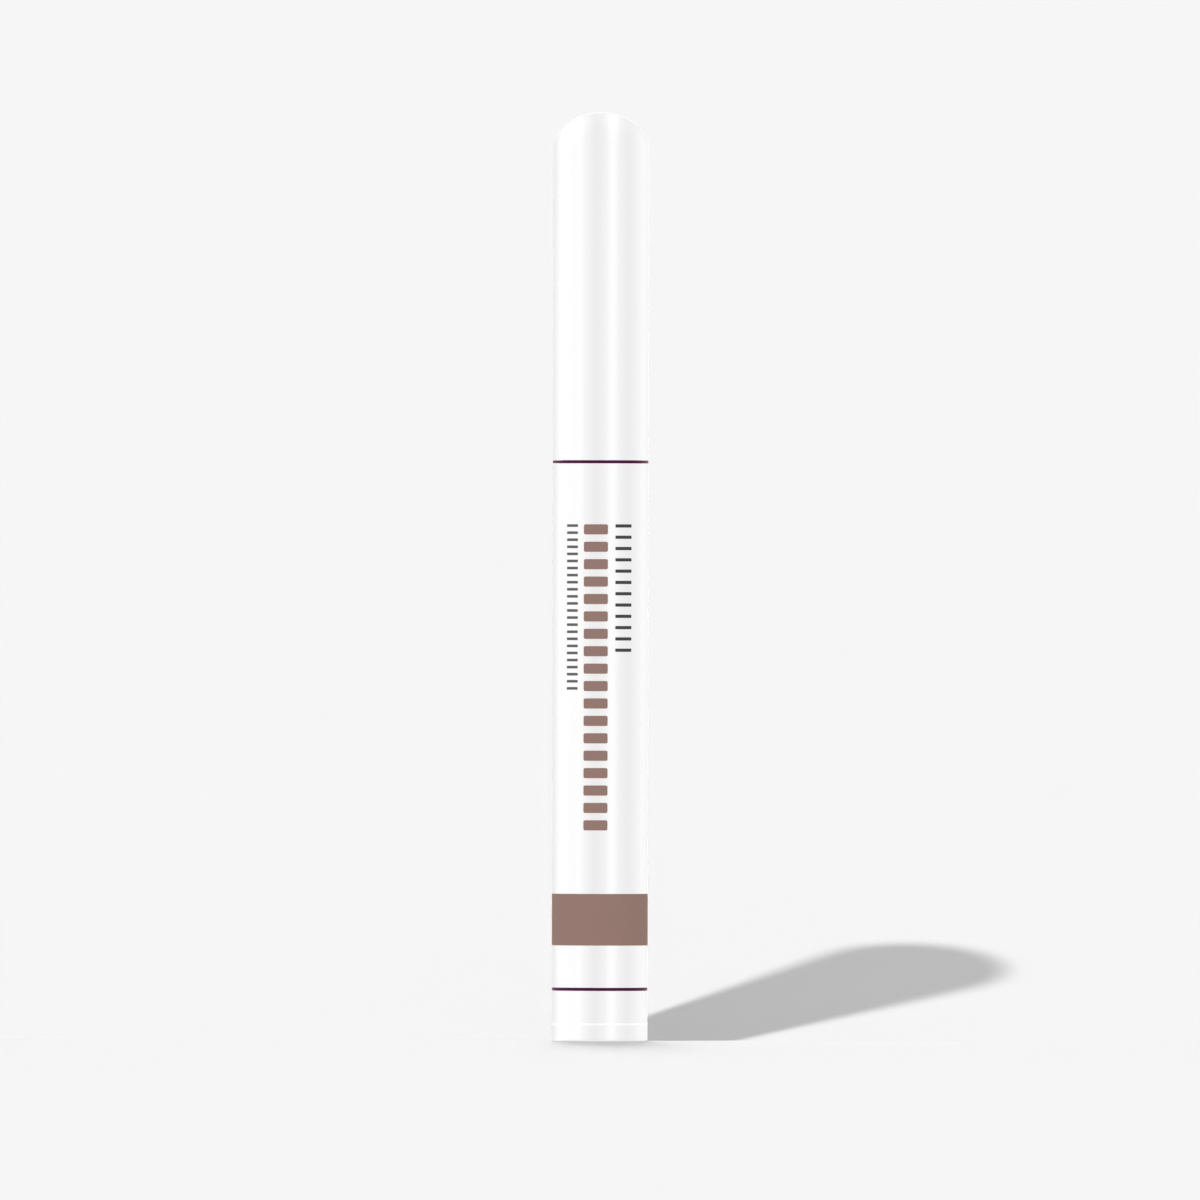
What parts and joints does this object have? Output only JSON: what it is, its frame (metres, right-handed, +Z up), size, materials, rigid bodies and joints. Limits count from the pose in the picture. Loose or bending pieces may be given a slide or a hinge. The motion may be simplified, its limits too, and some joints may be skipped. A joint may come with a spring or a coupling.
{
  "type": "nail polish corrector pen",
  "caption": "Slim round felt-tip pen with a domed pull-off cap, thin dark trim rings, an ink reservoir and spare tips held in a pull-off tail.",
  "frame": {"origin": "centre of the flat base that the pen stands on", "axes": "+Z up along the pen's axis, from the tail to the domed cap; the front faces -Y"},
  "size_m": [0.0134, 0.0134, 0.13],
  "materials": {
    "white_gloss": "smooth glossy white polypropylene",
    "dark_purple": "satin dark purple plastic",
    "inner_white": "plain moulded white plastic",
    "natural_plastic": "natural translucent polyethylene",
    "reservoir_fibre": "bundled polyester fibre",
    "clear_film": "thin clear wrap",
    "tip_fibre": "compressed polyester fibre"
  },
  "bodies": {
    "pen_body": {"barrel": "white_gloss", "upper_trim_ring": "dark_purple", "lower_trim_ring": "dark_purple", "nib_section": "inner_white", "fibre_reservoir": "reservoir_fibre", "reservoir_film": "clear_film", "tail_plug": "inner_white"},
    "writing_tip": {"nib": "tip_fibre"},
    "cap": {"cap_shell": "white_gloss", "cap_inner_liner": "natural_plastic"},
    "tail": {"tail_cap": "white_gloss", "tail_end_disc": "white_gloss", "spare_nib_holder": "inner_white"},
    "spare_tip_1": {"spare_nib_1": "tip_fibre"},
    "spare_tip_2": {"spare_nib_2": "tip_fibre"},
    "spare_tip_3": {"spare_nib_3": "tip_fibre"}
  },
  "joints": [
    {"name": "cap_pull", "type": "slide", "parent": "pen_body", "child": "cap", "axis": [0, 0, 1], "range_m": [0, 0.045]},
    {"name": "nib_pull", "type": "slide", "parent": "pen_body", "child": "writing_tip", "axis": [0, 0, 1], "range_m": [0, 0.014]},
    {"name": "tail_cap_pull", "type": "slide", "parent": "pen_body", "child": "tail", "axis": [0, 0, -1], "range_m": [0, 0.026]},
    {"name": "spare_nib_1_lift", "type": "slide", "parent": "tail", "child": "spare_tip_1", "axis": [0, 0, 1], "range_m": [0, 0.006]},
    {"name": "spare_nib_2_lift", "type": "slide", "parent": "tail", "child": "spare_tip_2", "axis": [0, 0, 1], "range_m": [0, 0.006]},
    {"name": "spare_nib_3_lift", "type": "slide", "parent": "tail", "child": "spare_tip_3", "axis": [0, 0, 1], "range_m": [0, 0.006]}
  ]
}
